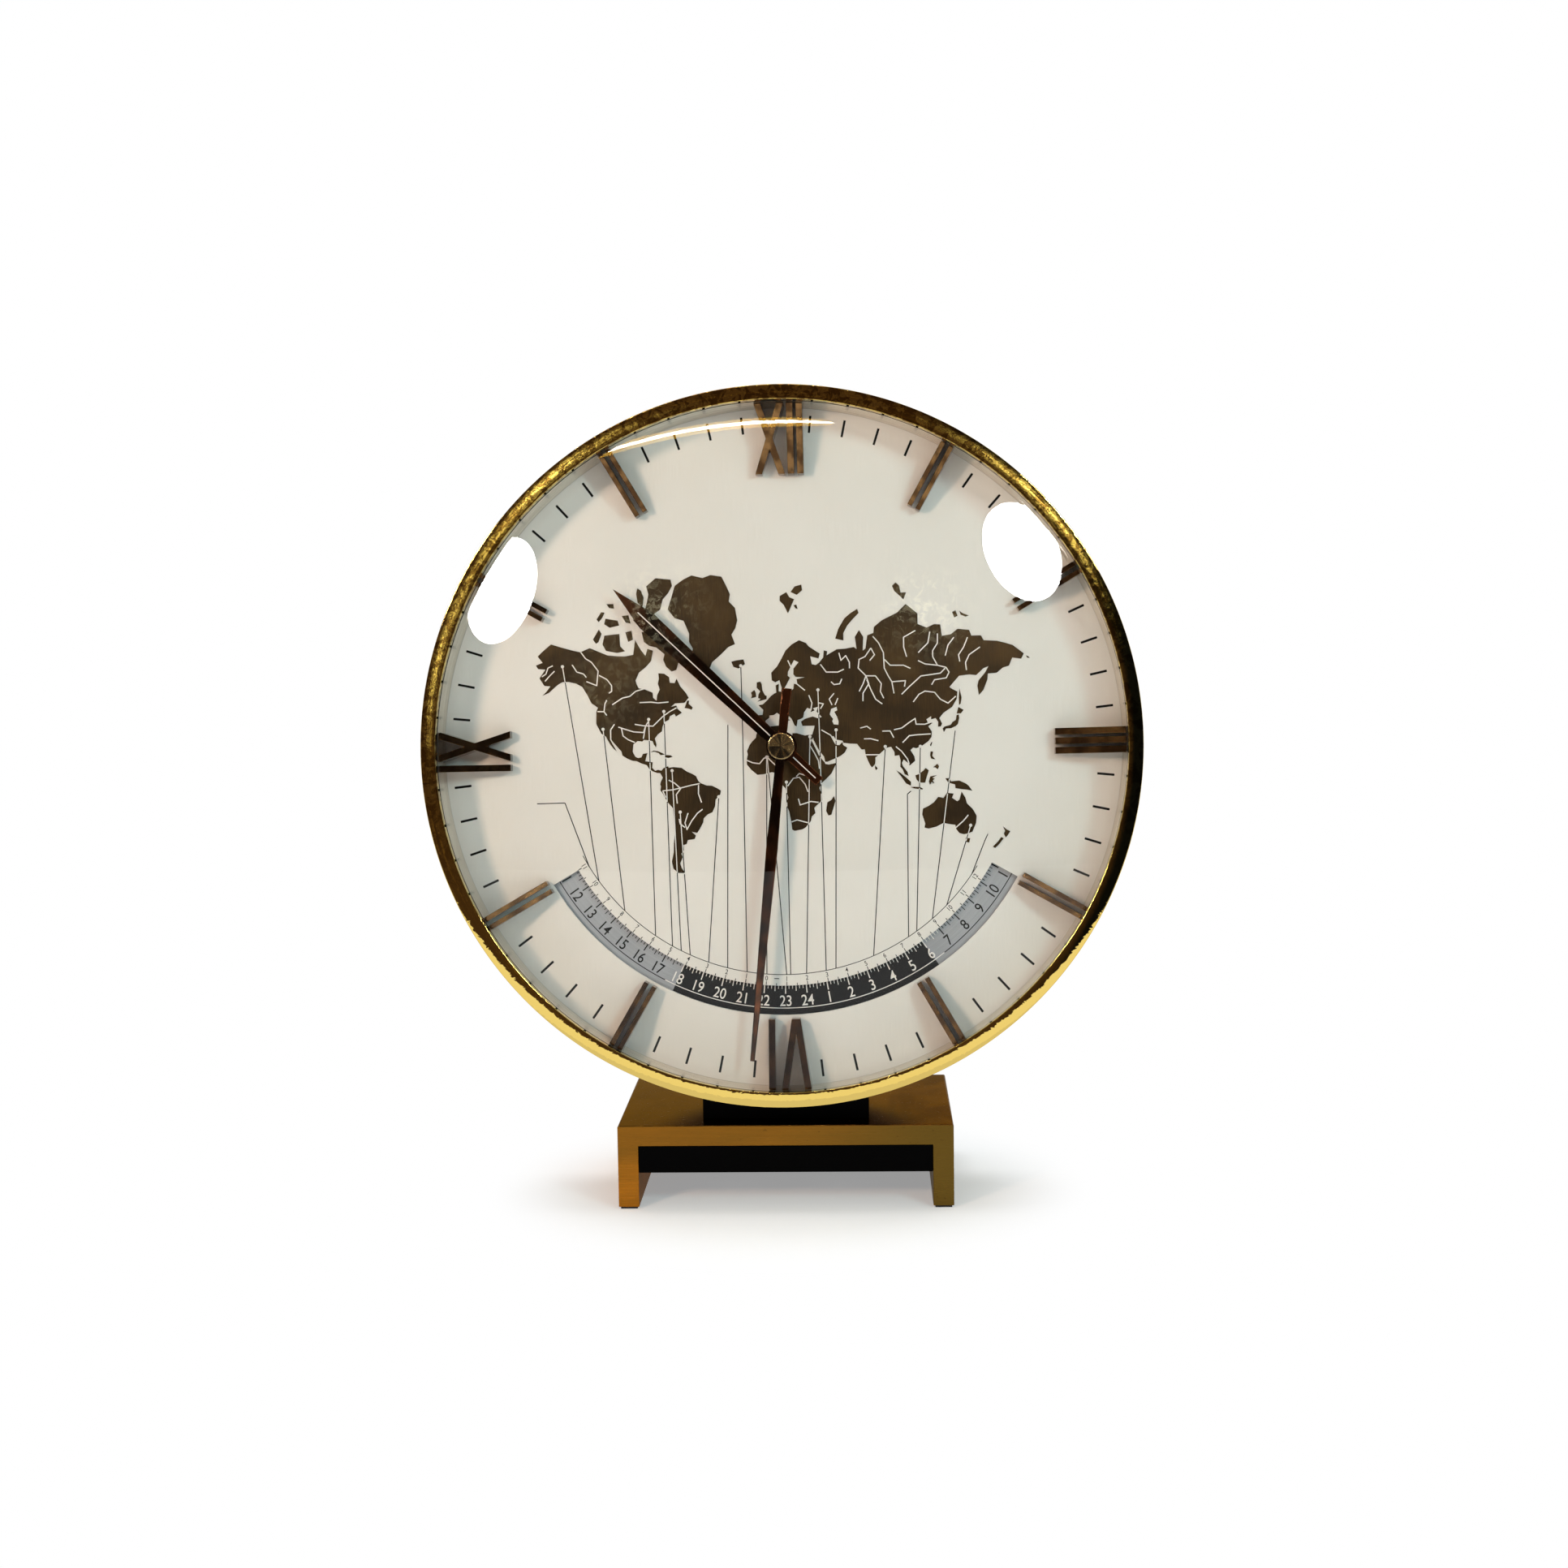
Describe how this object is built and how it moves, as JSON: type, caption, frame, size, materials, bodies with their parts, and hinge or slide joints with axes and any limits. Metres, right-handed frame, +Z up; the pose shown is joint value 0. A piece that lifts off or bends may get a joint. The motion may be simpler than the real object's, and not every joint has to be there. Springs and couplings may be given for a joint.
{
  "type": "world time clock",
  "caption": "Leaning round brass table clock on a low bridge stand, with a world map dial, raised hour markers, two hands and a turning ring of hours behind a curved window.",
  "frame": {"origin": "on the table, in the middle of the clock's width and depth", "axes": "+X to the right seen from the front, +Y to the back, +Z up"},
  "size_m": [0.26, 0.0862, 0.2976],
  "materials": {
    "brushed_brass": "brushed brass, warm golden brown",
    "polished_brass": "mirror polished brass",
    "case_brass": "satin brass",
    "marker_brass": "polished brass with a copper tone",
    "turned_brass": "turned brass",
    "hand_bronze": "polished dark bronze",
    "map_bronze": "brushed dark bronze leaf",
    "dial_paint": "warm white satin paint",
    "wall_metal": "satin light metal",
    "plate_metal": "sheet aluminium",
    "steel": "plain steel",
    "magnet": "dark magnet with its pinion",
    "copper_wire": "enamelled copper wire",
    "crystal_glass": "clear domed glass",
    "gasket_rubber": "black rubber",
    "pad_rubber": "black rubber",
    "black_plastic": "black satin plastic",
    "cover_plastic": "black grained plastic",
    "knob_plastic": "black plastic",
    "movement_plastic": "pale plastic",
    "gear_plastic": "natural plastic",
    "ring_plastic": "satin plastic, black and silver grey",
    "board": "green board",
    "cell_wrap": "plain dark wrap"
  },
  "bodies": {
    "case": {"stand_bridge": "brushed_brass", "stand_core": "black_plastic", "neck_block": "black_plastic", "foot_pads": "pad_rubber", "case_bolts": "steel", "case_nuts": "steel", "saddle_plate": "steel", "case_shell": "case_brass", "bezel_ring": "polished_brass", "crystal": "crystal_glass", "crystal_gasket": "gasket_rubber", "wall_ring": "wall_metal", "back_cover": "cover_plastic", "back_cover_screws": "steel", "dial_plate": "dial_paint", "world_map": "map_bronze", "numeral_twelve": "marker_brass", "numeral_three": "marker_brass", "numeral_six": "marker_brass", "numeral_nine": "marker_brass", "hour_bars": "marker_brass", "idler_studs": "turned_brass", "idler_clips": "steel", "ring_guides": "turned_brass", "dial_pillars": "turned_brass", "plate_screws": "steel", "mounting_plate": "plate_metal", "stator": "steel", "coil": "copper_wire", "movement_front": "movement_plastic", "movement_back": "movement_plastic", "train_bridge": "movement_plastic", "movement_screws": "steel", "centre_nut": "turned_brass", "circuit_board": "board", "quartz_can": "steel", "battery": "cell_wrap", "battery_contacts": "steel"},
    "minute_group": {"minute_arbor": "turned_brass", "minute_hand": "hand_bronze", "hub_cap": "hand_bronze"},
    "hour_group": {"hour_wheel": "gear_plastic", "ring_drive_gear": "gear_plastic", "hour_hand": "hand_bronze"},
    "hour_ring": {"hour_ring": "ring_plastic"},
    "inner_idler": {"idler_inner": "gear_plastic"},
    "outer_idler": {"idler_outer": "gear_plastic"},
    "minute_wheel": {"minute_wheel": "gear_plastic"},
    "setter": {"setting_stem": "steel", "setting_knob": "knob_plastic"},
    "centre_wheel": {"centre_wheel": "gear_plastic"},
    "third_wheel": {"third_wheel": "gear_plastic"},
    "seconds_wheel": {"seconds_wheel": "gear_plastic"},
    "reduction_wheel": {"reduction_wheel": "gear_plastic"},
    "rotor": {"rotor": "magnet"},
    "battery_door": {"battery_door": "cover_plastic"}
  },
  "joints": [
    {"name": "minute_spin", "type": "hinge", "parent": "case", "child": "minute_group", "pos_m": [0, -0.009, 0.16615], "axis": [0, 0.9956, -0.0941], "continuous": true},
    {"name": "hour_spin", "type": "hinge", "parent": "case", "child": "hour_group", "pos_m": [0, -0.009, 0.16615], "axis": [0, 0.9956, -0.0941], "continuous": true},
    {"name": "ring_spin", "type": "hinge", "parent": "case", "child": "hour_ring", "pos_m": [0, -0.009, 0.16615], "axis": [0, 0.9956, -0.0941], "continuous": true},
    {"name": "inner_idler_spin", "type": "hinge", "parent": "case", "child": "inner_idler", "pos_m": [0, -0.00604, 0.19751], "axis": [0, 0.9956, -0.0941], "continuous": true},
    {"name": "outer_idler_spin", "type": "hinge", "parent": "case", "child": "outer_idler", "pos_m": [0, -0.00274, 0.23236], "axis": [0, 0.9956, -0.0941], "continuous": true},
    {"name": "minute_wheel_spin", "type": "hinge", "parent": "case", "child": "minute_wheel", "pos_m": [0, -0.01013, 0.15421], "axis": [0, 0.9956, -0.0941], "continuous": true},
    {"name": "setter_spin", "type": "hinge", "parent": "case", "child": "setter", "pos_m": [0, -0.01126, 0.14226], "axis": [0, 0.9956, -0.0941], "continuous": true},
    {"name": "rotor_spin", "type": "hinge", "parent": "case", "child": "rotor", "pos_m": [-0.01697, -0.0095, 0.16086], "axis": [0, 0.9956, -0.0941], "continuous": true},
    {"name": "reduction_spin", "type": "hinge", "parent": "case", "child": "reduction_wheel", "pos_m": [-0.01697, -0.00868, 0.16957], "axis": [0, 0.9956, -0.0941], "continuous": true},
    {"name": "seconds_spin", "type": "hinge", "parent": "case", "child": "seconds_wheel", "pos_m": [-0.01118, -0.00803, 0.17644], "axis": [0, 0.9956, -0.0941], "continuous": true},
    {"name": "third_spin", "type": "hinge", "parent": "case", "child": "third_wheel", "pos_m": [0, -0.00764, 0.18049], "axis": [0, 0.9956, -0.0941], "continuous": true},
    {"name": "centre_spin", "type": "hinge", "parent": "case", "child": "centre_wheel", "pos_m": [0, -0.009, 0.16615], "axis": [0, 0.9956, -0.0941], "continuous": true},
    {"name": "door_slide", "type": "slide", "parent": "case", "child": "battery_door", "axis": [0, 0.9956, -0.0941], "range_m": [0, 0.02]}
  ],
  "couplings": [
    {"joint": "hour_spin", "follows": "minute_spin", "ratio": 0.083333},
    {"joint": "ring_spin", "follows": "minute_spin", "ratio": 0.013889},
    {"joint": "inner_idler_spin", "follows": "minute_spin", "ratio": -0.066667},
    {"joint": "outer_idler_spin", "follows": "minute_spin", "ratio": 0.066667},
    {"joint": "minute_wheel_spin", "follows": "minute_spin", "ratio": -0.33333},
    {"joint": "setter_spin", "follows": "minute_spin", "ratio": 1},
    {"joint": "reduction_spin", "follows": "rotor_spin", "ratio": -0.16667},
    {"joint": "seconds_spin", "follows": "rotor_spin", "ratio": 0.033333},
    {"joint": "third_spin", "follows": "rotor_spin", "ratio": -0.0044444},
    {"joint": "centre_spin", "follows": "rotor_spin", "ratio": 0.00055556}
  ]
}
